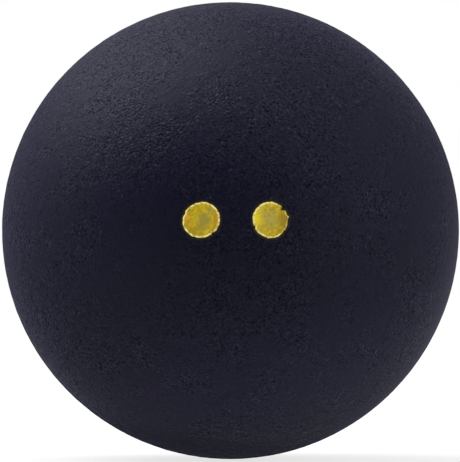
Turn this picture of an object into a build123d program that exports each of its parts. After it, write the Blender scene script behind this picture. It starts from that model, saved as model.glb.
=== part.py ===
from build123d import *

import math
import os

# A squash ball: two moulded rubber half shells, cemented edge to edge round a sealed chamber of air,
# with two round dots of ink printed side by side on the front half.
# Sizes are in millimetres. The origin is the ball's centre, the dots face -Y and +Z is up.

# Rubber shell
BALL_DIAMETER = 40.0
WALL_THICKNESS = 5.0

# Cement that bonds the two half shells
CEMENT_THICKNESS = 0.2
BEAD_REACH = 0.7  # squeezed-out cement spreads this far over each half's chamber wall
BEAD_HEIGHT = 0.35  # and stands this far into the chamber

# Printed dots, as seen from the front
DOT_DIAMETER = 3.1
DOT_GAP = 2.75  # bare rubber between the two dots
DOT_PAIR_RIGHT = 0.45  # middle of the pair from the ball's centre
DOT_PAIR_UP = 0.91
INK_THICKNESS = 0.05
LIP_WIDTH = 0.25  # ridge of ink round each dot's edge
LIP_HEIGHT = 0.05  # how far the ridge stands above the film

ball_radius = BALL_DIAMETER / 2
chamber_radius = ball_radius - WALL_THICKNESS
seam_offset = CEMENT_THICKNESS / 2

# Angles seen from the ball's centre at which the seam faces cut the outer surface and the chamber wall
outer_seam_angle = math.degrees(math.asin(seam_offset / ball_radius))
chamber_seam_angle = math.degrees(math.asin(seam_offset / chamber_radius))


def polar(radius, angle):
    """Point at that radius and angle, in degrees, in a section through the ball's centre."""
    return (radius * math.cos(math.radians(angle)), radius * math.sin(math.radians(angle)))


# Front half shell: a quarter ring turned about the moulding axis, flat at the seam
with BuildPart() as front_half_shell:
    with BuildSketch(Plane.XY):
        with BuildLine():
            outside = CenterArc((0, 0), ball_radius, -90, 90 - outer_seam_angle)
            chamber = CenterArc((0, 0), chamber_radius, -90, 90 - chamber_seam_angle)
            Line(outside @ 1, chamber @ 1)
            Line(outside @ 0, chamber @ 0)
        make_face()
    revolve(axis=Axis.Y)
front_half_shell.part.label = "front_half_shell"

# Rear half shell: the same moulding, turned round to face the first
with BuildPart() as rear_half_shell:
    mirror(front_half_shell.part, about=Plane.XZ)
rear_half_shell.part.label = "rear_half_shell"

# Seam cement: a thin flat ring between the seam faces, flush outside, with a bead inside the chamber
with BuildPart() as seam_cement:
    bead_angle = chamber_seam_angle + math.degrees(BEAD_REACH / chamber_radius)
    with BuildSketch(Plane.XY):
        with BuildLine():
            flush_edge = CenterArc((0, 0), ball_radius, -outer_seam_angle, 2 * outer_seam_angle)
            front_spread = CenterArc(
                (0, 0), chamber_radius, -bead_angle, bead_angle - chamber_seam_angle
            )
            rear_spread = CenterArc(
                (0, 0), chamber_radius, chamber_seam_angle, bead_angle - chamber_seam_angle
            )
            Line(flush_edge @ 0, front_spread @ 1)
            Line(flush_edge @ 1, rear_spread @ 0)
            ThreePointArc(front_spread @ 0, (chamber_radius - BEAD_HEIGHT, 0), rear_spread @ 1)
        make_face()
    revolve(axis=Axis.Y)
seam_cement.part.label = "seam_cement"

# Printed dots: a film of ink curved like the ball, with a rounded ridge where the ink gathered at its edge
film_radius = ball_radius + INK_THICKNESS
crest_radius = film_radius + LIP_HEIGHT
edge_angle = 90 - math.degrees(math.asin(DOT_DIAMETER / 2 / ball_radius))
lip_angle = math.degrees(LIP_WIDTH / ball_radius)
printed_dots = []
for dot_name, side in (("left_dot", -1), ("right_dot", 1)):
    dot_right = DOT_PAIR_RIGHT + side * (DOT_DIAMETER + DOT_GAP) / 2
    dot_front = math.sqrt(ball_radius**2 - dot_right**2 - DOT_PAIR_UP**2)
    outward = Vector(dot_right, -dot_front, DOT_PAIR_UP).normalized()
    across = outward.cross(Vector(0, 0, 1)).normalized()
    section = Plane(origin=(0, 0, 0), x_dir=across, z_dir=across.cross(outward))
    with BuildPart() as dot:
        with BuildSketch(section):
            with BuildLine():
                underside = CenterArc((0, 0), ball_radius, edge_angle, 90 - edge_angle)
                film = CenterArc(
                    (0, 0), film_radius, edge_angle + lip_angle, 90 - edge_angle - lip_angle
                )
                ThreePointArc(
                    underside @ 0, polar(crest_radius, edge_angle + lip_angle / 2), film @ 0
                )
                Line(underside @ 1, film @ 1)
            make_face()
        revolve(axis=Axis((0, 0, 0), outward))
    dot.part.label = dot_name
    printed_dots.append(dot.part)

os.makedirs("parts", exist_ok=True)
for piece in (front_half_shell.part, rear_half_shell.part, seam_cement.part, *printed_dots):
    export_step(piece, f"parts/{piece.label}.step")
    print(f"{piece.label}: {piece.volume:.3f} mm3")
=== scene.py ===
# %% [markdown]
# A squash ball on a white floor. The real one is two moulded rubber half shells, cemented edge to edge,
# buffed matt all over and printed with two yellow dots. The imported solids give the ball's sizes, so the
# first cell loads them. The later cells dress the ball piece by piece, and then light it.

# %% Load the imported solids
import math
from functools import partial

import bmesh
import bpy
import numpy as np
from mathutils import Matrix, Vector, noise


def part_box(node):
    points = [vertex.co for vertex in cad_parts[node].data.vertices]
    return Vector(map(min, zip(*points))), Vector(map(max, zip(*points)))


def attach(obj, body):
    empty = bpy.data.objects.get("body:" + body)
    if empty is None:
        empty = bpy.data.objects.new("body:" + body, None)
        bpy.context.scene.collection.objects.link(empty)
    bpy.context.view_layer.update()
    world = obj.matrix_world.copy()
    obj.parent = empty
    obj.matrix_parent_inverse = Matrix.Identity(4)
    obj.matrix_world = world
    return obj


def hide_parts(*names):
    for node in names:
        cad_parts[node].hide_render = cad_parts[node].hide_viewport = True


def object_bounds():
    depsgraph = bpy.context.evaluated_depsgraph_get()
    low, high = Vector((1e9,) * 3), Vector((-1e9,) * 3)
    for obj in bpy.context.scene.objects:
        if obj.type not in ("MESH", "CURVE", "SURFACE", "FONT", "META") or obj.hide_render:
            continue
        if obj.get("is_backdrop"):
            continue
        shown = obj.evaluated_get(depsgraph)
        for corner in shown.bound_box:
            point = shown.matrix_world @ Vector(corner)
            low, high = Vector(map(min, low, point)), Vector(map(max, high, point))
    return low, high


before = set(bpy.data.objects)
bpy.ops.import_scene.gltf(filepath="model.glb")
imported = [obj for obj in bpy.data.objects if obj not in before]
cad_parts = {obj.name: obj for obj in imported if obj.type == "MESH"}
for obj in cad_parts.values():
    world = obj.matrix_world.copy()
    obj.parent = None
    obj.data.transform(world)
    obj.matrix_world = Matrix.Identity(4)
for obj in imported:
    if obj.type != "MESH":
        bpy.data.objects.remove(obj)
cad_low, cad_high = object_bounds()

MM = 0.001
print("solids:", sorted(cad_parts))

# %% [markdown]
# Sizes come from the solids, not from a second list of numbers that could drift away from them. A vertex
# of a ball-shaped solid is as far from the origin as the surface is there, so the shell's furthest and
# nearest vertices give the ball and its air chamber, and a dot's vertices give its axis, edge and height.

# %% Measure the shell, the seam and the dots
ON_RUBBER = 0.001 * MM  # a vertex of a dot this near to the ball's radius lies on the rubber


def points_of(node):
    """The vertices of one solid, as rows of x, y, z in metres."""
    return np.array([vertex.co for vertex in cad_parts[node].data.vertices], float)


def measure_dot(node):
    """Axis through the ball's centre, radius where it meets the rubber, and height of one printed dot."""
    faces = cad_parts[node].data.polygons
    axis = sum((face.center * face.area for face in faces), Vector()).normalized()
    points = points_of(node)
    reach = np.linalg.norm(points, axis=1)
    across = np.linalg.norm(np.cross(points, axis), axis=1)
    radius = float(across[reach < BALL_RADIUS + ON_RUBBER].max())
    return {"axis": axis, "radius": radius, "height": float(reach.max()) - BALL_RADIUS}


shell_reach = np.linalg.norm(points_of("front_half_shell"), axis=1)
BALL_RADIUS = float(shell_reach.max())
CHAMBER_RADIUS = float(shell_reach.min())
SEAM_OFFSET = -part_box("front_half_shell")[1].y
BEAD_RADIUS = float(np.linalg.norm(points_of("seam_cement"), axis=1).min())
BEAD_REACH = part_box("seam_cement")[1].y
DOTS = {node: measure_dot(node) for node in ("left_dot", "right_dot")}
print(f"ball {BALL_RADIUS / MM:.3f} mm, chamber {CHAMBER_RADIUS / MM:.3f} mm in radius")
print(f"half of the seam: {SEAM_OFFSET / MM:.3f} mm")
for node, dot in DOTS.items():
    print(f"{node}: radius {dot['radius'] / MM:.3f} mm, height {dot['height'] / MM:.3f} mm")

# %% [markdown]
# Node trees make both the shapes and the finishes, so one small function adds any node. Its settings are
# keywords, and its sockets take another node, a socket or a plain value, in a list or by their names. Tied
# to one tree, it is called add from here on, and the kinds of node used most have short names. Colours are
# written as sRGB hex values, the way a screen shows them, and one function makes them linear, for the nodes.

# %% Helpers for nodes, colours and trees
MATH = "ShaderNodeMath"
VECTOR_MATH = "ShaderNodeVectorMath"
MAP_RANGE = "ShaderNodeMapRange"
NOISE_TEXTURE = "ShaderNodeTexNoise"
MIX = "ShaderNodeMix"


def add_node(tree, kind, inputs=(), **settings):
    """Adds one node with its settings, and links or fills the sockets that inputs lists or names."""
    node = tree.nodes.new(kind)
    for name, value in settings.items():
        setattr(node, name, value)
    for key, value in inputs.items() if isinstance(inputs, dict) else enumerate(inputs):
        named = [socket for socket in node.inputs if socket.enabled and socket.name == key]
        target = node.inputs[key] if isinstance(key, int) else named[0]
        if isinstance(value, bpy.types.Node):
            value = next(socket for socket in value.outputs if socket.enabled)
        if isinstance(value, bpy.types.NodeSocket):
            tree.links.new(value, target)
        else:
            target.default_value = value
    return node


def linear(hex_colour):
    """Linear RGBA of an sRGB hex colour."""
    parts = [int(hex_colour[i : i + 2], 16) / 255 for i in (1, 3, 5)]
    return (*[p / 12.92 if p <= 0.04045 else ((p + 0.055) / 1.055) ** 2.4 for p in parts], 1.0)


def new_finish(name):
    """An empty material, and the add function of its tree."""
    material = bpy.data.materials.new(name)
    material.use_nodes = True
    material.node_tree.nodes.clear()
    return material, partial(add_node, material.node_tree)


def new_tree(name, sizes, result="Geometry", result_kind="NodeSocketGeometry"):
    """A geometry tree with these named inputs and one result, its add function and its inputs' sockets."""
    tree = bpy.data.node_groups.new(name, "GeometryNodeTree")
    tree.interface.new_socket(result, in_out="OUTPUT", socket_type=result_kind)
    for size, value in sizes.items():
        kind = "NodeSocketVector" if isinstance(value, Vector) else "NodeSocketFloat"
        tree.interface.new_socket(size, in_out="INPUT", socket_type=kind)
    add = partial(add_node, tree)
    return tree, add, add("NodeGroupInput").outputs


# %% [markdown]
# The shell is butyl rubber, moulded and then tumbled against abrasive until it is matt. The abrasive bites
# unevenly: it leaves patches of keen grain, and between them the grain is worn down to small clusters. A
# painted map could show that, but a flat map stretches on a ball. Noise in Object coordinates keeps its
# size all over, and its seed was chosen so that the patches lie as in the photograph.

# %% Keen and worn patches of the rubber
PATCH_SIZE = 9.0 * MM
PATCH_SEED = 976.81  # puts keen patches at the upper left, as in the photograph
PATCH_WORN = 0.33  # noise up to which a patch is worn
PATCH_KEEN = 0.67  # noise from which it is keen
CLUSTER_SIZE = 2.4 * MM
CLUSTER_SHARE = 0.8  # how much a cluster adds to the patch that it lies in
WORN_SHARE = 0.25  # share of the grain that is left in the worn patches


def grain_left(add, place):
    """Share of the grain that wear has left at a place."""
    wide = {"Vector": place, "W": PATCH_SEED, "Scale": 1 / PATCH_SIZE, "Detail": 1.0}
    patches = add(NOISE_TEXTURE, wide, noise_dimensions="4D")
    clusters = add(NOISE_TEXTURE, {"Vector": place, "Scale": 1 / CLUSTER_SIZE, "Detail": 1.0})
    gathered = add(MATH, [clusters, CLUSTER_SHARE, patches], operation="MULTIPLY_ADD")
    worn = PATCH_WORN + CLUSTER_SHARE / 2
    wear = {"Value": gathered, "From Min": worn, "From Max": worn + PATCH_KEEN - PATCH_WORN}
    return add(MAP_RANGE, {**wear, "To Min": WORN_SHARE})


# %% [markdown]
# The grain is fine pebbles over coarser lumps. Wear takes the small waves first, so the highest tops and
# the deepest hollows stand out. Plain noise doesn't look like that, so its height is bent by a curve that
# is gentle near the middle and steeper towards both ends.

# %% Grain of the rubber
FINE_GRAIN_SIZE = 0.2 * MM
GRAIN_SIZE = 0.75 * MM
LUMP_SHARE = 0.3  # how much of the coarser grain, which is in the mesh, shows in the colour
GRAIN_SPREAD = 0.3  # how far the noise of the grain runs to each side of its average
WAVE_LEFT = 0.82  # share of the smallest waves that wear has left
PEAK_GAIN = 1.6  # how fast that share grows towards the tops and hollows


def worn_grain(add, place, pebbles):
    """Height of the grain: 0.5 on the level, about 1 on the tops and about 0 in the hollows."""
    lumps = add(NOISE_TEXTURE, {"Vector": place, "Scale": 1 / GRAIN_SIZE, "Detail": 1.0})
    grain = add(MATH, [lumps, LUMP_SHARE, pebbles], operation="MULTIPLY_ADD")
    average = 0.5 * (1 + LUMP_SHARE)
    spread = {"Value": grain, "From Min": average - GRAIN_SPREAD, "From Max": average + GRAIN_SPREAD}
    centred = add(MAP_RANGE, {**spread, "To Min": -0.5, "To Max": 0.5}, clamp=False)
    squared = add(MATH, [centred, centred], operation="MULTIPLY")
    kept = add(MATH, [squared, PEAK_GAIN, WAVE_LEFT], operation="MULTIPLY_ADD")
    peaked = add(MATH, [centred, kept], operation="MULTIPLY")
    return add(MATH, [peaked, grain_left(add, place), 0.5], operation="MULTIPLY_ADD")


# %% [markdown]
# Pits and pale tips are scattered over the grain. They are too many to place one by one, so each cell of a
# Voronoi pattern holds one mark in its middle, and the cell's random colour says how wide it is and whether
# it rises or sinks. Noise shakes the pattern a little, because its own marks would be round.

# %% Pits and tips of the rubber
MARK_SPACING = 0.7 * MM
MARK_SHARE = 0.26  # radius of the widest pits and tips as a share of their spacing
MARK_WOBBLE = 0.15 * MM
TIP_RISE = 2.4  # height in the middle of the highest tip, as a share of the grain round it
PIT_RISE = 0.0  # the same for the deepest pit


def pits_and_tips(add, place, pebbles):
    """What the grain's height is multiplied by: 1 between the marks, more on a tip and less in a pit."""
    wobble = add(VECTOR_MATH, {0: pebbles.outputs["Color"], "Scale": MARK_WOBBLE}, operation="SCALE")
    shaken = add(VECTOR_MATH, [place, wobble], operation="ADD")
    cells = add("ShaderNodeTexVoronoi", {"Vector": shaken, "Scale": 1 / MARK_SPACING})
    chance = add("ShaderNodeSeparateXYZ", [cells.outputs["Color"]]).outputs
    size = add(MATH, [chance["X"], MARK_SHARE], operation="MULTIPLY")
    rise = add(MAP_RANGE, {"Value": chance["Y"], "To Min": TIP_RISE, "To Max": PIT_RISE})
    within = {"Value": cells, "From Max": size, "To Min": rise}
    return add(MAP_RANGE, within, interpolation_type="SMOOTHSTEP")


def rubber_relief(add, place):
    """Height of the whole relief: 0 in the hollows and pits, about 1 on the tops, and more on pale tips."""
    pebbles = add(NOISE_TEXTURE, {"Vector": place, "Scale": 1 / FINE_GRAIN_SIZE, "Detail": 0.0})
    factors = [worn_grain(add, place, pebbles), pits_and_tips(add, place, pebbles)]
    marked = add(MATH, factors, operation="MULTIPLY")
    return add(MATH, [marked, 0.0], operation="MAXIMUM")


# %% [markdown]
# Wax from the rubber blooms on the tops of the grain as a thin broken film. Broad patches scale that film
# and the rubber's colour together, as painted light and shade: a brighter patch below the middle is painted
# light, and darker patches left of the middle and at the upper left are painted shade. Two fields of broad
# noise lay them about where the photograph has them. The darker underside is painted shade too: the film is
# thinned in a cap round one direction.

# %% Waxy bloom on the rubber
LIGHT_PATCH_SIZE = 20.0 * MM
LIGHT_PATCH_SEED = 10484.61  # lays the brightest patch of painted light below the middle, as in the photograph
LIGHT_PATCH_LEAST = 0.75  # bloom and colour where there is no painted light, as a share of the usual
LIGHT_PATCH_GAIN = 1.09  # what the brightest painted light adds to that
SHADE_PATCH_SIZE = 18.0 * MM
SHADE_PATCH_SEED = 11063.12  # darkens left of the middle and at the upper left as painted shade, as in the photograph
SHADE_PATCH_LOSS = 0.59  # what the darkest painted shade takes away
UNDER_SHADE_DIRECTION = Vector((-0.14, 0.2, -0.97)).normalized()  # towards the middle of the painted shade on the underside
UNDER_SHADE_FULL = math.radians(28)
UNDER_SHADE_END = math.radians(42)
UNDER_SHADE_LEFT = 0.68  # share of the bloom that is left there


def painted_light_and_shade(add, place):
    """Painted light and shade: how much the bloom and the colour are scaled at a place, as a share of the
    usual.
    """
    broad = {"Vector": place, "W": LIGHT_PATCH_SEED, "Scale": 1 / LIGHT_PATCH_SIZE, "Detail": 0.0}
    light_noise = add(NOISE_TEXTURE, broad, noise_dimensions="4D")
    lit_share = add(MATH, [light_noise, LIGHT_PATCH_GAIN, LIGHT_PATCH_LEAST], operation="MULTIPLY_ADD")
    shade_spots = {"Vector": place, "W": SHADE_PATCH_SEED, "Scale": 1 / SHADE_PATCH_SIZE, "Detail": 0.0}
    shade_noise = add(NOISE_TEXTURE, shade_spots, noise_dimensions="4D")
    return add(MATH, [shade_noise, -SHADE_PATCH_LOSS, lit_share], operation="MULTIPLY_ADD")


def painted_underside_shade(add, place):
    """Painted shade on the underside: share of the bloom that is kept, 1 all over and less round the lowest
    point.
    """
    outward = add(VECTOR_MATH, [place], operation="NORMALIZE")
    near = add(VECTOR_MATH, [outward, UNDER_SHADE_DIRECTION], operation="DOT_PRODUCT").outputs["Value"]
    under_shade_span = {"Value": near, "From Min": math.cos(UNDER_SHADE_END), "From Max": math.cos(UNDER_SHADE_FULL)}
    return add(MAP_RANGE, {**under_shade_span, "To Min": 1.0, "To Max": UNDER_SHADE_LEFT}, interpolation_type="SMOOTHSTEP")


# %% [markdown]
# To the eye the rubber is a deep matt navy, because only the film of wax shines. The hollows and pits are
# painted shade: their colour is nearly black and their film thin. So one height drives the colour, the film
# and the bump. The film is the coat of the shader, over a base with no shine of its own, and a trace of blue
# sheen is the dust that shows at the rim.

# %% Finish of the buffed rubber
# The hollows' colour and film are painted shade of the grain
RUBBER_HOLLOW_SHADE = "#06060f"
RUBBER_TOP = "#0f0d29"
RUBBER_DUST = "#4a4aff"
ROUGH_HOLLOW = 0.9
ROUGH_TOP = 0.7
BLOOM_HOLLOW_SHADE = 0.12
BLOOM_TOP = 0.46
BLOOM_ROUGH = 0.55
DUST_WEIGHT = 0.02
DUST_ROUGH = 0.5
FINE_GRAIN_DEPTH = 0.038 * MM


def buffed_butyl_rubber():
    """Matt navy-black rubber: patchy pebbled grain, scattered pits and tips, and a thin waxy bloom."""
    material, add = new_finish("buffed_butyl_rubber")
    place = add("ShaderNodeTexCoord").outputs["Object"]
    height = rubber_relief(add, place)
    # Painted light and shade: broad patches scale the colour and the film
    painted_cover = painted_light_and_shade(add, place)
    # Painted shade: the hollows and pits take a nearly black colour and a thin film
    tones = {"Factor": height, "A": linear(RUBBER_HOLLOW_SHADE), "B": linear(RUBBER_TOP)}
    colour = add(MIX, tones, data_type="RGBA", clamp_factor=False)
    bloom = add(MAP_RANGE, {"Value": height, "To Min": BLOOM_HOLLOW_SHADE, "To Max": BLOOM_TOP}, clamp=False)
    painted_bloom = add(MATH, [bloom, painted_cover], operation="MULTIPLY")
    # Painted shade: the film is thinned on the underside
    left = painted_underside_shade(add, place)
    dull = {"Value": height, "To Min": ROUGH_HOLLOW, "To Max": ROUGH_TOP}
    bump = add("ShaderNodeBump", {"Height": height, "Distance": FINE_GRAIN_DEPTH})
    surface = {
        "Base Color": add(VECTOR_MATH, {0: colour, "Scale": painted_cover}, operation="SCALE"),
        "Roughness": add(MAP_RANGE, dull),
        "Normal": bump,
        "Specular IOR Level": 0.0,
        "Coat Weight": add(MATH, [painted_bloom, left], operation="MULTIPLY"),
        "Coat Roughness": BLOOM_ROUGH,
        "Coat Normal": bump,
        "Sheen Weight": DUST_WEIGHT,
        "Sheen Roughness": DUST_ROUGH,
        "Sheen Tint": linear(RUBBER_DUST),
    }
    shader = add("ShaderNodeBsdfPrincipled", surface)
    add("ShaderNodeOutputMaterial", {"Surface": shader})
    return material


RUBBER = buffed_butyl_rubber()
print("finish:", RUBBER.name, "with", len(RUBBER.node_tree.nodes), "nodes")

# %% [markdown]
# The coarser part of the grain is real relief, so it belongs in the mesh and not only in the finish. The
# half shells and the ink on top of them share one field of noise in the ball's own space. Because they all
# read the same field, the grain runs on over the seam and under the print. It only ever cuts inward, so
# the ball's outside diameter stays what the solids say.

# %% The grain field that the rubber and the print share
GRAIN_DEPTH = 0.04 * MM
GRAIN_RANGE = (0.25, 0.75)  # what the noise of this coarser grain runs between
WORN_LUMPS = 0.38  # share of the coarser grain that is left in the worn patches
GRAIN_SIZES = {
    "Grain size": GRAIN_SIZE,
    "Grain depth": GRAIN_DEPTH,
    "Patch size": PATCH_SIZE,
    "Patch seed": PATCH_SEED,
}


def grain_field():
    """Node group: how deep the buffing cut at a place on the ball, in metres."""
    sizes = {"Place": Vector(), **GRAIN_SIZES}
    tree, add, given = new_tree("buffing_grain", sizes, "Cut", "NodeSocketFloat")
    fine = add(MATH, [1.0, given["Grain size"]], operation="DIVIDE")
    wide = add(MATH, [1.0, given["Patch size"]], operation="DIVIDE")
    grain = add(NOISE_TEXTURE, {"Vector": given["Place"], "Scale": fine, "Detail": 1.0})
    spots = {"Vector": given["Place"], "W": given["Patch seed"], "Scale": wide, "Detail": 1.0}
    patches = add(NOISE_TEXTURE, spots, noise_dimensions="4D")
    low = {"Value": grain, "From Min": GRAIN_RANGE[0], "From Max": GRAIN_RANGE[1]}
    hollow = add(MAP_RANGE, {**low, "To Min": 1.0, "To Max": 0.0})
    wear = {"Value": patches, "From Min": PATCH_WORN, "From Max": PATCH_KEEN}
    left = add(MAP_RANGE, {**wear, "To Min": WORN_LUMPS})
    share = add(MATH, [hollow, left], operation="MULTIPLY")
    cut = add(MATH, [share, given["Grain depth"]], operation="MULTIPLY")
    add("NodeGroupOutput", {"Cut": cut})
    return tree


def grain_cut(add, size, place):
    """The shared field inside another tree, with that tree's own sizes."""
    given = {"Place": place, **{name: size[name] for name in GRAIN_SIZES}}
    return add("GeometryNodeGroup", given, node_tree=GRAIN)


GRAIN = grain_field()
print("field:", GRAIN.name, "cuts up to", round(GRAIN_DEPTH / MM, 3), "mm deep")

# %% [markdown]
# Every shape tree closes with smooth faces, crisp corners and its finish. Run on an empty mesh, it gives a
# piece whose place is in its points. The result is copied to a plain mesh, which keeps the piece the same
# wherever it goes next, and the modifier is taken away.

# %% Close and run a shape tree
CRISP_ANGLE = math.radians(50)


def close_shape(add, shape, material):
    """Ends a tree: smooth faces with crisp corners, no instances, and the finish."""
    smooth = add("GeometryNodeSetShadeSmooth", {"Geometry": shape})
    angle = add("GeometryNodeInputMeshEdgeAngle")
    corner = add("FunctionNodeCompare", {"A": angle, "B": CRISP_ANGLE}, operation="GREATER_THAN")
    sharp = {"Geometry": smooth, "Selection": corner, "Shade Smooth": False}
    crisp = add("GeometryNodeSetShadeSmooth", sharp, domain="EDGE")
    real = add("GeometryNodeRealizeInstances", {"Geometry": crisp})
    dressed = add("GeometryNodeSetMaterial", {"Geometry": real, "Material": material})
    add("NodeGroupOutput", {"Geometry": dressed})


def add_object(name, data):
    """Puts a mesh, a lamp or a camera into the scene under this name."""
    data.name = name
    holder = bpy.data.objects.new(name, data)
    bpy.context.scene.collection.objects.link(holder)
    return holder


def run_shape(name, tree, sizes):
    """Runs a tree with these sizes and returns the result as a piece with a plain mesh."""
    maker = add_object(name + "_maker", bpy.data.meshes.new(name + "_maker"))
    modifier = maker.modifiers.new(tree.name, "NODES")
    modifier.node_group = tree
    for socket in tree.interface.items_tree:
        if socket.in_out == "INPUT":
            modifier[socket.identifier] = sizes[socket.name]
    made = maker.evaluated_get(bpy.context.evaluated_depsgraph_get())
    mesh = bpy.data.meshes.new_from_object(made)
    maker.modifiers.clear()
    bpy.data.objects.remove(maker)
    return add_object(name, mesh)


# %% [markdown]
# A piece is closed when each of its edges has two faces, and it is the right way out when its volume comes
# out positive. Both are counted for each piece as it is made. Then it is tied to the ball's one body and
# takes the place of its solid.

# %% Check a piece and tie it to the ball
def fit_piece(piece, node):
    """Prints what a piece is made of, and lets it stand for one solid of the ball."""
    form = bmesh.new()
    form.from_mesh(piece.data)
    open_edges = sum(not edge.is_manifold for edge in form.edges)
    triangles = sum(len(face.verts) - 2 for face in form.faces)
    volume = form.calc_volume(signed=True) / MM**3
    form.free()
    print(f"{piece.name}: {triangles} triangles, {open_edges} open edges, {volume:.3f} mm3")
    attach(piece, "root")
    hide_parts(node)


# %% [markdown]
# A half shell is a bowl: half a ball outside, a flat seam face, and a smaller half ball inside. A UV sphere
# would crowd its points at the poles, and one of those poles lies right between the dots. An icosphere has
# even triangles all over, and a ring of edges round its middle, so half of it can be deleted cleanly.

# %% Outside of a half shell
OUTSIDE_LEVEL = 8  # gives 163,840 triangles on half a ball, about 0.19 mm a side


def dome_outside(add, size, axes):
    """The upper half of a ball of even triangles."""
    ball = {"Radius": size["Ball radius"], "Subdivisions": OUTSIDE_LEVEL}
    whole = add("GeometryNodeMeshIcoSphere", ball)
    below = add("FunctionNodeCompare", {"A": axes["Z"], "B": 0.0}, operation="LESS_THAN")
    return add("GeometryNodeDeleteGeometry", {"Geometry": whole, "Selection": below}, domain="FACE")


# %% [markdown]
# The rim's edges are then pulled inward across the seam face, and on up the chamber wall ring by ring to
# the top. A separate inner half ball would need the same points on its rim to join up. Pulling the edges
# closes the bowl whatever the spacing of the rim's points is, and the rings can be few, because nobody
# sees the chamber.

# %% Seam face and chamber wall of a half shell
CHAMBER_RINGS = 12
WELD = 0.002 * MM
FLAT = (1, 1, 0)  # times a place, keeps its x and y and drops its z


def chamber_lining(add, size, place, dome):
    """Pulls the dome's rim across the seam face and up the chamber wall, and closes it at the top."""
    faces = add("GeometryNodeInputMeshEdgeNeighbors")
    rim = add("FunctionNodeCompare", {2: faces, 3: 1}, data_type="INT", operation="EQUAL")
    level = add(VECTOR_MATH, [place, FLAT], operation="MULTIPLY")
    outward = add(VECTOR_MATH, [level], operation="NORMALIZE")
    bowl = dome
    edge = rim.outputs[0]
    for ring in range(CHAMBER_RINGS + 1):
        climb = math.pi / 2 * ring / CHAMBER_RINGS
        across = add(VECTOR_MATH, {0: outward, "Scale": math.cos(climb)}, operation="SCALE")
        toward = add(VECTOR_MATH, [across, (0, 0, math.sin(climb))], operation="ADD")
        wall = {0: toward, "Scale": size["Chamber radius"]}
        target = add(VECTOR_MATH, wall, operation="SCALE")
        pull = {"Mesh": bowl, "Selection": edge, "Offset Scale": 0.0}
        pulled = add("GeometryNodeExtrudeMesh", pull, mode="EDGES")
        edge = pulled.outputs["Top"]
        moved = {"Geometry": pulled.outputs["Mesh"], "Selection": edge, "Position": target}
        bowl = add("GeometryNodeSetPosition", moved)
    return add("GeometryNodeMergeByDistance", {"Geometry": bowl, "Distance": WELD})


# %% [markdown]
# So far the seam face lies in the ball's middle plane. Half the cement's thickness belongs there, so every
# point is moved up by that much and then drawn back to its own distance from the centre, which leaves the
# seam face flat and both walls round. Then the bowl is turned to face forwards or backwards, and its
# outside is buffed with the shared grain.

# %% Whole half shell
SHELL_SIZES = {
    "Ball radius": BALL_RADIUS,
    "Chamber radius": CHAMBER_RADIUS,
    "Seam offset": SEAM_OFFSET,
    "Facing": math.pi / 2,
    **GRAIN_SIZES,
}
OUTSIDE_SHARE = 0.999  # points further out than this share of the radius belong to the outside


def half_shell_tree():
    """Tree for one moulded half: grained outside, flat seam face and smooth chamber wall."""
    tree, add, size = new_tree("moulded_half_shell", SHELL_SIZES)
    place = add("GeometryNodeInputPosition")
    axes = add("ShaderNodeSeparateXYZ", [place]).outputs
    distance = add(VECTOR_MATH, [place], operation="LENGTH").outputs["Value"]
    bowl = chamber_lining(add, size, place, dome_outside(add, size, axes))
    seam = add("ShaderNodeCombineXYZ", {"Z": size["Seam offset"]})
    above = add(VECTOR_MATH, [place, seam], operation="ADD")
    toward = add(VECTOR_MATH, [above], operation="NORMALIZE")
    lift = add(VECTOR_MATH, {0: toward, "Scale": distance}, operation="SCALE")
    lifted = add("GeometryNodeSetPosition", {"Geometry": bowl, "Position": lift})
    turn = {"Vector": place, "Angle": size["Facing"]}
    facing = add("ShaderNodeVectorRotate", turn, rotation_type="X_AXIS")
    turned = add("GeometryNodeSetPosition", {"Geometry": lifted, "Position": facing})
    cut = grain_cut(add, size, place)
    inward = add(MATH, [cut, -1.0], operation="MULTIPLY")
    outward = add(VECTOR_MATH, [place], operation="NORMALIZE")
    carve = add(VECTOR_MATH, {0: outward, "Scale": inward}, operation="SCALE")
    skin = add(MATH, [size["Ball radius"], OUTSIDE_SHARE], operation="MULTIPLY")
    outside = add("FunctionNodeCompare", {"A": distance, "B": skin}, operation="GREATER_THAN")
    buffing = {"Geometry": turned, "Selection": outside, "Offset": carve}
    close_shape(add, add("GeometryNodeSetPosition", buffing), RUBBER)
    return tree


SHELL_TREE = half_shell_tree()
for node, facing in (("front_half_shell", math.pi / 2), ("rear_half_shell", -math.pi / 2)):
    half_shell = run_shape("buffed_" + node, SHELL_TREE, {**SHELL_SIZES, "Facing": facing})
    fit_piece(half_shell, node)

# %% [markdown]
# Rubber cement bonds the halves. Brushed on as a solution and cured under heat, it ends as a thin dark ring
# that is flush with the outside after buffing, and it stands as a low bead inside where it squeezed out. On
# the outside only a fine line shows, a little darker and smoother than the rubber beside it.

# %% Finish of the cement
CEMENT_DARK = "#050509"
CEMENT_PALE = "#0b0b17"
CEMENT_MOTTLE = 1.2 * MM
MOTTLE_RANGE = (0.3, 0.7)  # what the noise of a mottled surface runs between
CEMENT_ROUGH = 0.7
CEMENT_BLOOM = (0.2, 0.3)
CEMENT_BLOOM_ROUGH = 0.45


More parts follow.
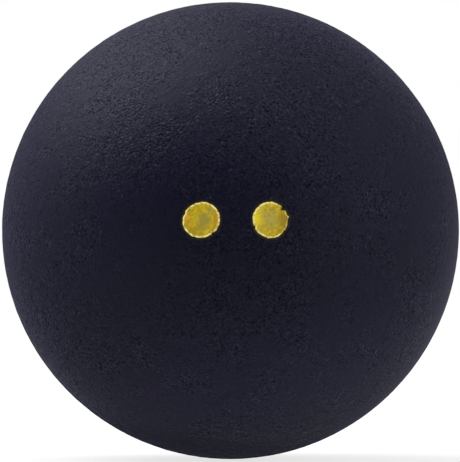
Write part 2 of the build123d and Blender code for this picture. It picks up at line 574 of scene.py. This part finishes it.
def cured_rubber_cement():
    """Nearly black cement, smoother than the buffed rubber and slightly uneven."""
    material, add = new_finish("cured_rubber_cement")
    place = add("ShaderNodeTexCoord").outputs["Object"]
    mottle = add(NOISE_TEXTURE, {"Vector": place, "Scale": 1 / CEMENT_MOTTLE, "Detail": 3.0})
    tones = {"Factor": mottle, "A": linear(CEMENT_DARK), "B": linear(CEMENT_PALE)}
    patchy = {"Value": mottle, "From Min": MOTTLE_RANGE[0], "From Max": MOTTLE_RANGE[1]}
    film = {**patchy, "To Min": CEMENT_BLOOM[0], "To Max": CEMENT_BLOOM[1]}
    surface = {
        "Base Color": add(MIX, tones, data_type="RGBA"),
        "Roughness": CEMENT_ROUGH,
        "Specular IOR Level": 0.0,
        "Coat Weight": add(MAP_RANGE, film),
        "Coat Roughness": CEMENT_BLOOM_ROUGH,
    }
    shader = add("ShaderNodeBsdfPrincipled", surface)
    add("ShaderNodeOutputMaterial", {"Surface": shader})
    return material


CEMENT = cured_rubber_cement()
print("finish:", CEMENT.name)

# %% [markdown]
# A ring with the same section all round is what Spin is for: draw the section once and turn it about the
# ball's axis. The outer edge is drawn as a shallow groove, and its depth wanders, because buffing hides a
# seam in some places and leaves it open in others. Spin can leave a shape inside out, so the doubled points
# are merged and the faces turned outward afterwards.

# %% Ring of cement
RING_STEPS = 640
BEAD_POINTS = 8
GROOVE_DEPTH = 0.03 * MM
GROOVE_WANDER = 6.0 * MM


def cement_section():
    """Section of the ring as (radius, along the axis) points: groove outside, flat sides, bead inside."""
    rim = math.sqrt(BALL_RADIUS**2 - SEAM_OFFSET**2)
    wall = math.sqrt(CHAMBER_RADIUS**2 - SEAM_OFFSET**2)
    groove = [(rim, -SEAM_OFFSET), (rim - GROOVE_DEPTH, 0.0), (rim, SEAM_OFFSET)]
    spread = math.sqrt(CHAMBER_RADIUS**2 - BEAD_REACH**2)
    bead = []
    for step in range(BEAD_POINTS + 1):
        along = BEAD_REACH * (1 - 2 * step / BEAD_POINTS)
        height = (spread - BEAD_RADIUS) * (1 - (along / BEAD_REACH) ** 2)
        bead.append((spread - height, along))
    return [*groove, (wall, SEAM_OFFSET), *bead, (wall, -SEAM_OFFSET)]


def add_form(name, form, finish):
    """Puts an edited form into the scene as an object with one finish."""
    mesh = bpy.data.meshes.new(name)
    form.to_mesh(mesh)
    form.free()
    mesh.materials.append(finish)
    return add_object(name, mesh)


def cement_ring():
    """Spins the section about the moulding axis and lets the groove's depth wander."""
    form = bmesh.new()
    corners = [form.verts.new((radius, along, 0.0)) for radius, along in cement_section()]
    section = [form.edges.new(pair) for pair in zip(corners, corners[1:] + corners[:1])]
    turn = {"cent": (0, 0, 0), "axis": (0, 1, 0), "angle": math.tau, "steps": RING_STEPS}
    bmesh.ops.spin(form, geom=corners + section, use_merge=True, **turn)
    bmesh.ops.remove_doubles(form, verts=form.verts, dist=WELD)
    bmesh.ops.recalc_face_normals(form, faces=form.faces)
    for vertex in form.verts:
        if vertex.co.length > BALL_RADIUS * OUTSIDE_SHARE:
            wander = 0.5 + 0.5 * noise.noise(vertex.co / GROOVE_WANDER)
            vertex.co -= vertex.co.normalized() * wander * GROOVE_DEPTH
    for face in form.faces:
        face.smooth = True
    return add_form("cement_ring", form, CEMENT)


fit_piece(cement_ring(), "seam_cement")

# %% [markdown]
# The dots are yellow ink, stamped on the buffed rubber with a pad. The black rubber dulls the film where it
# is thinnest, and the colour runs from lemon to brown, as the pad pressed unevenly. So a mottled tone is
# laid down first, then a handful of smears, then specks where the grain shows through. Smears follow the
# dot's own surface, so they read an attribute that its tree writes: how far right, how far up and how far
# in from its edge a point lies.

# %% Film and smears of the ink
FILM_DARK = "#a68c10"
FILM_PALE = "#d6ba1c"
INK_BARE = "#5a4a18"
SPECK_RANGE = (0.25, 0.5)  # noise between which the specks of bare rubber fade away
SPECK_STRENGTH = 0.3
SMEAR_WOBBLE = 0.5 * MM
SMEAR_CORE = 0.2  # share of a smear's reach over which it has its full strength
# Each smear: right and up from the dot's middle and reach, in millimetres, and its colour and strength
SMEARS = {
    "left_dot": [
        (0.2, 0.05, 0.9, "#9a8d3c", 0.9),
        (0.1, -0.6, 0.65, "#a08e34", 0.8),
        (-0.65, -0.95, 0.7, "#a08816", 0.7),
        (0.85, 0.8, 0.5, "#a3933a", 0.7),
        (-0.6, 0.05, 0.5, "#c8ac28", 0.7),
        (-1.2, 0.2, 0.42, "#d6a22c", 0.9),
        (-1.15, -0.2, 0.4, "#b8921a", 0.8),
        (1.3, 0.45, 0.45, "#bc941a", 0.9),
        (1.3, 0.0, 0.48, "#bc8e1c", 0.9),
        (1.25, -0.4, 0.4, "#b5871c", 0.7),
        (1.05, -0.85, 0.25, "#c87848", 0.8),
    ],
    "right_dot": [
        (-0.05, 0.1, 1.25, "#b0a046", 0.9),
        (-1.0, 1.05, 0.8, "#cdb434", 0.9),
        (-1.0, -1.0, 0.7, "#bfa838", 0.7),
        (-1.5, 0.1, 1.2, "#e6d022", 1.0),
        (1.35, -0.05, 1.1, "#957c18", 0.9),
        (0.75, -0.95, 0.5, "#a28418", 0.7),
        (1.0, 0.93, 0.25, "#5a2412", 0.9),
    ],
}


def wandering_place(add, ball_place, dot_place):
    """Place on the dot, shifted by a little noise so that the edges of the smears wander."""
    wave = add(NOISE_TEXTURE, {"Vector": ball_place, "Scale": 1 / SMEAR_WOBBLE})
    swing = add(VECTOR_MATH, [wave.outputs["Color"], (0.5, 0.5, 0.5)], operation="SUBTRACT")
    shift = add(VECTOR_MATH, {0: swing, "Scale": SMEAR_WOBBLE}, operation="SCALE")
    shifted = add(VECTOR_MATH, [dot_place, shift], operation="ADD")
    return add(VECTOR_MATH, [shifted, FLAT], operation="MULTIPLY")


def gap_from(add, place, right, up):
    """Distance of a place on the dot from a spot so many millimetres to the right and up."""
    spot = [place, (right * MM, up * MM, 0)]
    return add(VECTOR_MATH, spot, operation="DISTANCE").outputs["Value"]


def smeared_film(add, thickness, place, pebbles, dot_name):
    """Colour of one dot's film, with its smears and specks."""
    film = {"Factor": thickness, "A": linear(FILM_DARK), "B": linear(FILM_PALE)}
    colour = add(MIX, film, data_type="RGBA")
    for right, up, reach, smear_colour, strength in SMEARS[dot_name]:
        gap = gap_from(add, place, right, up)
        outward = {"Value": gap, "From Min": SMEAR_CORE * reach * MM, "From Max": reach * MM}
        fade = {**outward, "To Min": strength, "To Max": 0.0}
        share = add(MAP_RANGE, fade, interpolation_type="SMOOTHSTEP")
        colour = add(MIX, {"Factor": share, "A": colour, "B": linear(smear_colour)}, data_type="RGBA")
    hollows = {"Value": pebbles, "From Min": SPECK_RANGE[0], "From Max": SPECK_RANGE[1]}
    bare = add(MAP_RANGE, {**hollows, "To Min": SPECK_STRENGTH, "To Max": 0.0})
    specks = {"Factor": bare, "A": colour, "B": linear(INK_BARE)}
    return add(MIX, specks, data_type="RGBA")


# %% [markdown]
# The pad pushes ink outward, so each dot has a thick pale lip, broken where the ink was thin, and a dark
# feathered stain outside it, where the black rubber shows through. Both follow the distance from the dot's
# edge, which the same attribute gives.

# %% Lip and stain of the ink
LIP_PALE = "#faec98"
INK_FEATHER = "#1f1702"
FEATHER_WIDTH = 0.24 * MM
STAIN_SHARE = 0.8  # share of the feather over which the stain has its full depth
LIP_WIDTH = 0.2 * MM
LIP_FADE = (0.45, 0.85)  # shares of the lip's width between which its colour goes over to the film's
LIP_BREAKS = (0.38, 0.58)  # noise between which the lip goes from broken to whole
LIP_LEAST = 0.05  # share of the lip's colour that is left where it is broken
THIN_CORE = 0.4  # share of a thin place's reach over which the lip stays at its thinnest
# Where the pad lifted early and the lip is thin: right, up and reach as above, and the share left
THIN_LIP = {
    "left_dot": [(1.2, -1.0, 0.7, 0.4)],
    "right_dot": [(1.6, 0.1, 1.0, 0.4), (1.0, 0.9, 0.5, 0.1), (1.12, -0.94, 0.35, 0.1)],
}


def lip_share(add, edge, place, pebbles, dot_name):
    """Share of the lip's pale colour at each distance from one dot's edge."""
    start, end = (FEATHER_WIDTH + part * LIP_WIDTH for part in LIP_FADE)
    near = {"Value": edge, "From Min": start, "From Max": end}
    inside = add(MAP_RANGE, near, interpolation_type="SMOOTHSTEP")
    lip = add(MATH, [1.0, inside], operation="SUBTRACT")
    breaks = {"Value": pebbles, "From Min": LIP_BREAKS[0], "From Max": LIP_BREAKS[1]}
    whole = add(MAP_RANGE, {**breaks, "To Min": LIP_LEAST})
    share = add(MATH, [lip, whole], operation="MULTIPLY")
    for right, up, reach, kept in THIN_LIP[dot_name]:
        gap = gap_from(add, place, right, up)
        thin = {"Value": gap, "From Min": THIN_CORE * reach * MM, "From Max": reach * MM}
        left = add(MAP_RANGE, {**thin, "To Min": kept})
        share = add(MATH, [share, left], operation="MULTIPLY")
    return share


def feathered(add, edge, colour):
    """The ink's colour, gone over to the stain past its lip."""
    stain = {"Value": edge, "From Min": STAIN_SHARE * FEATHER_WIDTH, "From Max": FEATHER_WIDTH}
    full = add(MAP_RANGE, stain)
    return add(MIX, {"Factor": full, "A": linear(INK_FEATHER), "B": colour}, data_type="RGBA")


# %% [markdown]
# Dried ink is smoother than the buffed rubber, so it has a faint shine of its own, a little duller where
# the film is thick. Each dot gets its own material, because its smears and thin places are its own.

# %% Finish of the ink
INK_MOTTLE = 0.3 * MM
INK_ROUGH = (0.45, 0.6)
INK_SHINE = 0.2


def stamped_ink(dot_name):
    """Yellow ink of one dot: mottled film, smears in their places, a pale broken lip and a dark stain."""
    material, add = new_finish("stamped_yellow_ink_" + dot_name)
    ball_place = add("ShaderNodeTexCoord").outputs["Object"]
    dot_place = add("ShaderNodeAttribute", attribute_name="dot_place").outputs["Vector"]
    edge = add("ShaderNodeSeparateXYZ", [dot_place]).outputs["Z"]
    place = wandering_place(add, ball_place, dot_place)
    mottle = add(NOISE_TEXTURE, {"Vector": ball_place, "Scale": 1 / INK_MOTTLE, "Detail": 3.0})
    pebbles = add(NOISE_TEXTURE, {"Vector": ball_place, "Scale": 1 / FINE_GRAIN_SIZE, "Detail": 1.0})
    uneven = {"Value": mottle, "From Min": MOTTLE_RANGE[0], "From Max": MOTTLE_RANGE[1]}
    film = smeared_film(add, add(MAP_RANGE, uneven), place, pebbles, dot_name)
    share = lip_share(add, edge, place, pebbles, dot_name)
    rim = add(MIX, {"Factor": share, "A": film, "B": linear(LIP_PALE)}, data_type="RGBA")
    dull = {**uneven, "To Min": INK_ROUGH[0], "To Max": INK_ROUGH[1]}
    surface = {
        "Base Color": feathered(add, edge, rim),
        "Roughness": add(MAP_RANGE, dull),
        "Specular IOR Level": INK_SHINE,
    }
    shader = add("ShaderNodeBsdfPrincipled", surface)
    add("ShaderNodeOutputMaterial", {"Surface": shader})
    return material


INKS = {node: stamped_ink(node) for node in DOTS}
print("finishes:", [material.name for material in INKS.values()])

# %% [markdown]
# No stamped dot is a true circle. Both are drawn out a little along a slant, have ragged edges, and have
# nicks where the ink missed the rubber. The outline is a radius for each turn round the dot: a circle, an
# oval share, some noise, and a bell-shaped dip for each nick. All of it is in named inputs, so one kind of
# tree prints both dots.

# %% Outline of a dot
NICKS = 4
OUTLINE_SIZES = {
    "Dot radius": DOTS["left_dot"]["radius"],
    "Oval share": 0.0,
    "Oval turn": 0.0,
    "Ragged depth": 0.0,
    "Seed": 0.0,
}
for number in range(1, NICKS + 1):
    OUTLINE_SIZES[f"Nick {number} turn"] = 0.0
    OUTLINE_SIZES[f"Nick {number} spread"] = 0.1
    OUTLINE_SIZES[f"Nick {number} depth"] = 0.0
RAGGED_WAVES = 4.0  # waves of the ragged edge on a stretch as long as the dot's radius


def dot_outline(add, size, turn, tangent):
    """Radius of the dot at each turn round it."""
    from_oval = add(MATH, [turn, size["Oval turn"]], operation="SUBTRACT")
    twice = add(MATH, [from_oval, 2.0], operation="MULTIPLY")
    swing = add(MATH, [twice], operation="COSINE")
    oval = add(MATH, [swing, size["Oval share"], 1.0], operation="MULTIPLY_ADD")
    radius = add(MATH, [oval, size["Dot radius"]], operation="MULTIPLY")
    waves = {"Vector": tangent, "W": size["Seed"], "Scale": RAGGED_WAVES}
    ragged = add(NOISE_TEXTURE, {**waves, "Detail": 4.0, "Roughness": 0.62}, noise_dimensions="4D")
    middle = add(MATH, [ragged, 0.5], operation="SUBTRACT")
    radius = add(MATH, [middle, size["Ragged depth"], radius], operation="MULTIPLY_ADD")
    for number in range(1, NICKS + 1):
        away = add(MATH, [turn, size[f"Nick {number} turn"]], operation="SUBTRACT")
        near = add(MATH, [away], operation="COSINE")
        short = add(MATH, [near, 1.0], operation="SUBTRACT")
        spread = size[f"Nick {number} spread"]
        narrow = add(MATH, [spread, spread], operation="MULTIPLY")
        power = add(MATH, [short, narrow], operation="DIVIDE")
        bell = add(MATH, [power], operation="EXPONENT")
        dip = add(MATH, [bell, size[f"Nick {number} depth"]], operation="MULTIPLY")
        radius = add(MATH, [radius, dip], operation="SUBTRACT")
    return radius


# %% [markdown]
# The film's height follows the distance from that edge: a feathered foot, then a steep rise to the lip and
# a fall to the thinner film, which takes half of the grain that lies under it. Its root goes down into the
# rubber, so no gap opens in the hollows of the grain.

# %% Height of the ink
FILM_SIZES = {
    "Film thickness": 0.05 * MM,
    "Feather width": FEATHER_WIDTH,
    "Feather height": 0.004 * MM,
    "Lip width": LIP_WIDTH,
    "Lip height": 0.05 * MM,
    "Root depth": 0.06 * MM,
}
EDGE_ROUND = 0.35  # share of the lip's width over which the ink rises from the rubber
GRAIN_SHOWS = 0.5  # share of the rubber's grain that shows through the ink


def ink_height(add, size, edge, cut):
    """Height of the ink's top above the ball's radius, for a distance from the dot's edge."""
    inner = add(MATH, [edge, size["Feather width"]], operation="SUBTRACT")
    foot = add(MATH, [size["Lip width"], EDGE_ROUND], operation="MULTIPLY")
    rise = add(MAP_RANGE, {"Value": inner, "From Max": foot})
    rounded = add(MATH, [rise, 0.5], operation="POWER")
    fall = {"Value": inner, "From Min": foot, "From Max": size["Lip width"], "To Min": 1.0, "To Max": 0.0}
    lip = add(MAP_RANGE, fall, interpolation_type="SMOOTHSTEP")
    top = [lip, size["Lip height"], size["Film thickness"]]
    full = add(MATH, top, operation="MULTIPLY_ADD")
    film = add(MATH, [full, rounded], operation="MULTIPLY")
    height = add(MATH, [film, size["Feather height"]], operation="MAXIMUM")
    return add(MATH, [cut, -GRAIN_SHOWS, height], operation="MULTIPLY_ADD")


# %% [markdown]
# The dot itself is a grid wrapped into a lens: columns go round it, rows go from the middle of the top out
# to the edge and back under to the middle. A filled circle would be as round, but it has no rows that
# could crowd towards the edge, where the lip needs them.

# %% Grid of a dot
DOT_COLUMNS = 256
TOP_ROWS = 28
UNDER_ROWS = 5
ROW_CROWDING = 1.7  # above 1 crowds the rows towards the edge


def dot_grid(add):
    """A flat grid, and the turn round the dot, the row and the share of the radius of its points."""
    last = TOP_ROWS + UNDER_ROWS
    columns = {"Size X": 1.0, "Size Y": 1.0, "Vertices X": DOT_COLUMNS + 1, "Vertices Y": last + 1}
    grid = add("GeometryNodeMeshGrid", columns)
    axes = add("ShaderNodeSeparateXYZ", [add("GeometryNodeInputPosition")]).outputs
    # Columns run clockwise, so that the faces look outward
    column = {"Value": axes["X"], "From Min": -0.5, "From Max": 0.5}
    turn = add(MAP_RANGE, {**column, "To Min": math.tau, "To Max": 0.0})
    row = add(MAP_RANGE, {"Value": axes["Y"], "From Min": -0.5, "From Max": 0.5, "To Max": float(last)})
    outward = {"Value": row, "From Max": float(TOP_ROWS), "To Min": 1.0, "To Max": 0.0}
    to_edge = add(MAP_RANGE, outward)
    inward = add(MATH, [to_edge, ROW_CROWDING], operation="POWER")
    under = add(MAP_RANGE, {"Value": row, "From Min": float(TOP_ROWS), "From Max": float(last)})
    inset = add(MATH, [inward, under], operation="MAXIMUM")
    share = add(MATH, [1.0, inset], operation="SUBTRACT")
    return grid, turn, row, share


# %% [markdown]
# Two turns lay the grid on the ball: one swings a direction round the dot's axis, one tips the axis that
# way as far as the point lies from the middle. The tree also writes where each point lies on the dot, which
# is the attribute that the ink reads.

# %% Tree of a printed dot
DOT_WELD = 0.0004 * MM
PLACE_SIZES = {"Ball radius": BALL_RADIUS, "Out": Vector((0, -1, 0)), "Right": Vector((1, 0, 0))}
DOT_SIZES = {**PLACE_SIZES, **OUTLINE_SIZES, **FILM_SIZES, **GRAIN_SIZES}


def mark_places(add, grid, turn, across, edge):
    """Writes on the grid how far right, how far up and how far in from the edge each point lies."""
    cosine = add(MATH, [turn], operation="COSINE")
    sine = add(MATH, [turn], operation="SINE")
    right = add(MATH, [across, cosine], operation="MULTIPLY")
    up = add(MATH, [across, sine], operation="MULTIPLY")
    mark = add("ShaderNodeCombineXYZ", {"X": right, "Y": up, "Z": edge})
    written = {"Geometry": grid, "Name": "dot_place", "Value": mark}
    kind = {"data_type": "FLOAT_VECTOR", "domain": "POINT"}
    return add("GeometryNodeStoreNamedAttribute", written, **kind)


def printed_dot_tree(name, ink):
    """Tree for one dot of ink, closed all round and laid on the ball."""
    tree, add, size = new_tree(name, DOT_SIZES)
    grid, turn, row, share = dot_grid(add)
    swing = {"Vector": size["Right"], "Axis": size["Out"], "Angle": turn}
    tangent = add("ShaderNodeVectorRotate", swing)
    radius = dot_outline(add, size, turn, tangent)
    across = add(MATH, [radius, share], operation="MULTIPLY")
    edge = add(MATH, [radius, across], operation="SUBTRACT")
    sine = add(MATH, [across, size["Ball radius"]], operation="DIVIDE")
    tip = add(MATH, [sine], operation="ARCSINE")
    hinge = add(VECTOR_MATH, [size["Out"], tangent], operation="CROSS_PRODUCT")
    toward = add("ShaderNodeVectorRotate", {"Vector": size["Out"], "Axis": hinge, "Angle": tip})
    on_ball = add(VECTOR_MATH, {0: toward, "Scale": size["Ball radius"]}, operation="SCALE")
    height = ink_height(add, size, edge, grain_cut(add, size, on_ball))
    root = add(MATH, [size["Root depth"], -1.0], operation="MULTIPLY")
    is_top = add("FunctionNodeCompare", {"A": row, "B": TOP_ROWS - 0.5}, operation="LESS_THAN")
    level = {"Switch": is_top, "False": root, "True": height}
    lift = add("GeometryNodeSwitch", level, input_type="FLOAT")
    reach = add(MATH, [size["Ball radius"], lift], operation="ADD")
    surface = add(VECTOR_MATH, {0: toward, "Scale": reach}, operation="SCALE")
    marked = mark_places(add, grid, turn, across, edge)
    laid = add("GeometryNodeSetPosition", {"Geometry": marked, "Position": surface})
    closed = add("GeometryNodeMergeByDistance", {"Geometry": laid, "Distance": DOT_WELD})
    close_shape(add, closed, ink)
    return tree


# %% [markdown]
# The two dots differ in their size, slant, ragged edge and nicks. The share is that of the solid's radius,
# with the feather. A nick is its turn and spread in degrees, counterclockwise from the right as seen from
# the front, and its depth in millimetres. A negative depth is a drip that sticks out.

# %% Print the dots
DOT_SHAPES = {
    "left_dot": {
        "share": 1.14,
        "oval": (0.03, 22),
        "seed": 3.0,
        "nicks": [(311, 3, 0.13), (249, 3, 0.07), (160, 4, 0.1), (118, 3, 0.02)],
    },
    "right_dot": {
        "share": 1.117,
        "oval": (0.01, 100),
        "seed": 8.0,
        "nicks": [(40, 4, 0.25), (203, 3, 0.09), (320, 3, 0.06), (10, 3, -0.16)],
    },
}
RAGGED_DEPTH = 0.22 * MM


def dot_sizes(node):
    """Input values of one dot's tree."""
    axis = DOTS[node]["axis"]
    shape = DOT_SHAPES[node]
    sizes = {**DOT_SIZES, "Out": axis, "Right": Vector((0, 0, 1)).cross(axis).normalized()}
    sizes["Dot radius"] = DOTS[node]["radius"] * shape["share"]
    sizes["Oval share"] = shape["oval"][0]
    sizes["Oval turn"] = math.radians(shape["oval"][1])
    sizes["Ragged depth"] = RAGGED_DEPTH
    sizes["Seed"] = shape["seed"]
    for number, (turn, spread, depth) in enumerate(shape["nicks"], start=1):
        sizes[f"Nick {number} turn"] = math.radians(turn)
        sizes[f"Nick {number} spread"] = math.radians(spread)
        sizes[f"Nick {number} depth"] = depth * MM
    return sizes


for node in DOTS:
    tree = printed_dot_tree("printed_" + node, INKS[node])
    fit_piece(run_shape("printed_" + node, tree, dot_sizes(node)), node)

# %% [markdown]
# The floor is a plain white sheet under the ball. White paint lit by lamps comes out a little grey, so to
# the camera, and to anything that mirrors it, part of its brightness is a glow of exactly white. The rest
# is paint, which is what keeps the ball's soft shadow.

# %% White floor
FLOOR_RADIUS = 3.0
FLOOR_GLOW = 0.75
FLOOR_PAINT = "#f4f4f4"
WHITE = "#ffffff"
SHEET_SIDES = 96


def seen_directly(add):
    """1 for rays from the camera, a mirror or glass, and 0 for rays that only carry soft light."""
    paths = add("ShaderNodeLightPath").outputs
    mirrored = add(MATH, [paths["Is Camera Ray"], paths["Is Glossy Ray"]], operation="MAXIMUM")
    return add(MATH, [mirrored, paths["Is Transmission Ray"]], operation="MAXIMUM")


def matt_white_paint():
    """White paint with a glow that only rays that see it directly meet."""
    material, add = new_finish("matt_white_paint")
    glow_share = add(MATH, [seen_directly(add), FLOOR_GLOW], operation="MULTIPLY")
    paint = add("ShaderNodeBsdfDiffuse", {"Color": linear(FLOOR_PAINT)})
    glow = add("ShaderNodeEmission", {"Color": linear(WHITE), "Strength": 1.0})
    blend = add("ShaderNodeMixShader", [glow_share, paint, glow])
    add("ShaderNodeOutputMaterial", {"Surface": blend})
    return material


def round_sheet(name, radius, place, finish):
    """A flat round sheet, turned and moved by the matrix of its place."""
    form = bmesh.new()
    bmesh.ops.create_circle(form, cap_ends=True, segments=SHEET_SIDES, radius=radius, matrix=place)
    return add_form(name, form, finish)


def white_floor():
    """A wide white sheet at the ball's lowest point."""
    place = Matrix.Translation((0, 0, -BALL_RADIUS))
    return round_sheet("white_floor", FLOOR_RADIUS, place, matt_white_paint())


white_floor()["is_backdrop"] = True

# %% [markdown]
# A photographer would set one large softbox high on the left, just behind the ball, and let white walls do
# the rest. The softbox makes the broad pale patch on the upper left. The walls are the world: white to the
# camera and to reflections, and as bright as soft light as it takes for a colour to come out as written.

# %% Studio walls and softbox
WALL_LIGHT = 1.1
SOFTBOX_DIRECTION = Vector((-0.5, 0.2, 0.84))
SOFTBOX_DISTANCE = 0.8
SOFTBOX_SIZE = 0.8
SOFTBOX_POWER = 7.4
SOFTBOX_COLOUR = "#f2f3ff"


def studio_walls():
    """World that is white to the camera and in reflections, and a little brighter as soft light."""
    world = bpy.data.worlds.new("white_studio")
    world.use_nodes = True
    world.node_tree.nodes.clear()
    add = partial(add_node, world.node_tree)
    soft = add("ShaderNodeBackground", {"Color": linear(WHITE), "Strength": WALL_LIGHT})
    white = add("ShaderNodeBackground", {"Color": linear(WHITE), "Strength": 1.0})
    blend = add("ShaderNodeMixShader", [seen_directly(add), soft, white])
    add("ShaderNodeOutputWorld", {"Surface": blend})
    return world


def softbox():
    """Square lamp that faces the ball from the upper left."""
    lamp = bpy.data.lights.new("softbox", "AREA")
    lamp.shape = "SQUARE"
    lamp.size = SOFTBOX_SIZE
    lamp.energy = SOFTBOX_POWER
    lamp.color = linear(SOFTBOX_COLOUR)[:3]
    holder = add_object("softbox", lamp)
    toward = SOFTBOX_DIRECTION.normalized()
    holder.location = toward * SOFTBOX_DISTANCE
    holder.rotation_euler = toward.to_track_quat("Z", "Y").to_euler()
    return holder


bpy.context.scene.world = studio_walls()
print("softbox at", [round(v, 3) for v in softbox().location])

# %% [markdown]
# White all round would give the middle of the ball the same pale film as its rim. The photograph is darkest
# left of the middle, where the ball reflects what stands round the camera, so a black cloth hangs there. It
# only has to be reflected, and it would be a black backdrop in views from behind, so no camera sees it.

# %% Black cloth beside the camera
CLOTH_COLOUR = "#252525"
CLOTH_DIRECTION = Vector((-0.45, -0.89, 0.0))
CLOTH_DISTANCE = 0.7
CLOTH_HALF_ANGLE = math.radians(57)


def black_felt():
    """Felt that swallows most of the light that falls on it."""
    material, add = new_finish("black_felt")
    felt = add("ShaderNodeBsdfDiffuse", {"Color": linear(CLOTH_COLOUR)})
    add("ShaderNodeOutputMaterial", {"Surface": felt})
    return material


def black_cloth():
    """A round black cloth that faces the ball from the left of the camera."""
    toward = CLOTH_DIRECTION.normalized()
    place = Matrix.LocRotScale(toward * CLOTH_DISTANCE, toward.to_track_quat("Z", "Y"), None)
    radius = CLOTH_DISTANCE * math.tan(CLOTH_HALF_ANGLE)
    cloth = round_sheet("black_cloth", radius, place, black_felt())
    cloth.visible_camera = False
    return cloth


black_cloth()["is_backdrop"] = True

# %% [markdown]
# The photograph is close to a straight view of the dots, and the ball nearly fills it. Seen from nearby,
# the outline of a ball is a little larger than its diameter, so the lens is worked out from the ray that
# grazes it. The camera is moved aside by the fraction of a millimetre by which the ball is off the middle.

# %% Camera
IMAGE_SIZE = (460, 462)
BALL_MIDDLE_PX = (229.94, 230.14)
BALL_RADIUS_PX = 228.6  # a third of a pixel over the outline's, because the render softens edges inward
CAMERA_DISTANCE = 0.6
SENSOR = 36.0


def photo_camera():
    """Camera that shows the ball where the photograph shows it, and as large."""
    lens = bpy.data.cameras.new("photo_camera")
    grazing = BALL_RADIUS / math.sqrt(CAMERA_DISTANCE**2 - BALL_RADIUS**2)
    lens.sensor_width = SENSOR
    lens.lens = BALL_RADIUS_PX / max(IMAGE_SIZE) * SENSOR / grazing
    pixel = BALL_RADIUS / BALL_RADIUS_PX
    right = BALL_MIDDLE_PX[0] + 0.5 - IMAGE_SIZE[0] / 2
    down = BALL_MIDDLE_PX[1] + 0.5 - IMAGE_SIZE[1] / 2
    holder = add_object("photo_camera", lens)
    holder.location = (-right * pixel, -CAMERA_DISTANCE, down * pixel)
    holder.rotation_euler = (math.pi / 2, 0, 0)
    return holder


bpy.context.scene.camera = photo_camera()
bpy.context.scene.view_settings.view_transform = "Standard"
print("lens", round(bpy.context.scene.camera.data.lens, 1), "mm")

# %% [markdown]
# Last, the box of the dressed ball is set beside the box of its solids. The grain only cuts inward and the
# ink stays under its solid's highest point, so the two agree to a few hundredths of a millimetre.

# %% Print the boxes of the solids and of the dressed ball
low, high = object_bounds()
boxes = {"cad": [list(cad_low), list(cad_high)], "visual": [list(low), list(high)]}
for name, box in boxes.items():
    print(name, "box in mm:", [[round(value / MM, 3) for value in corner] for corner in box])
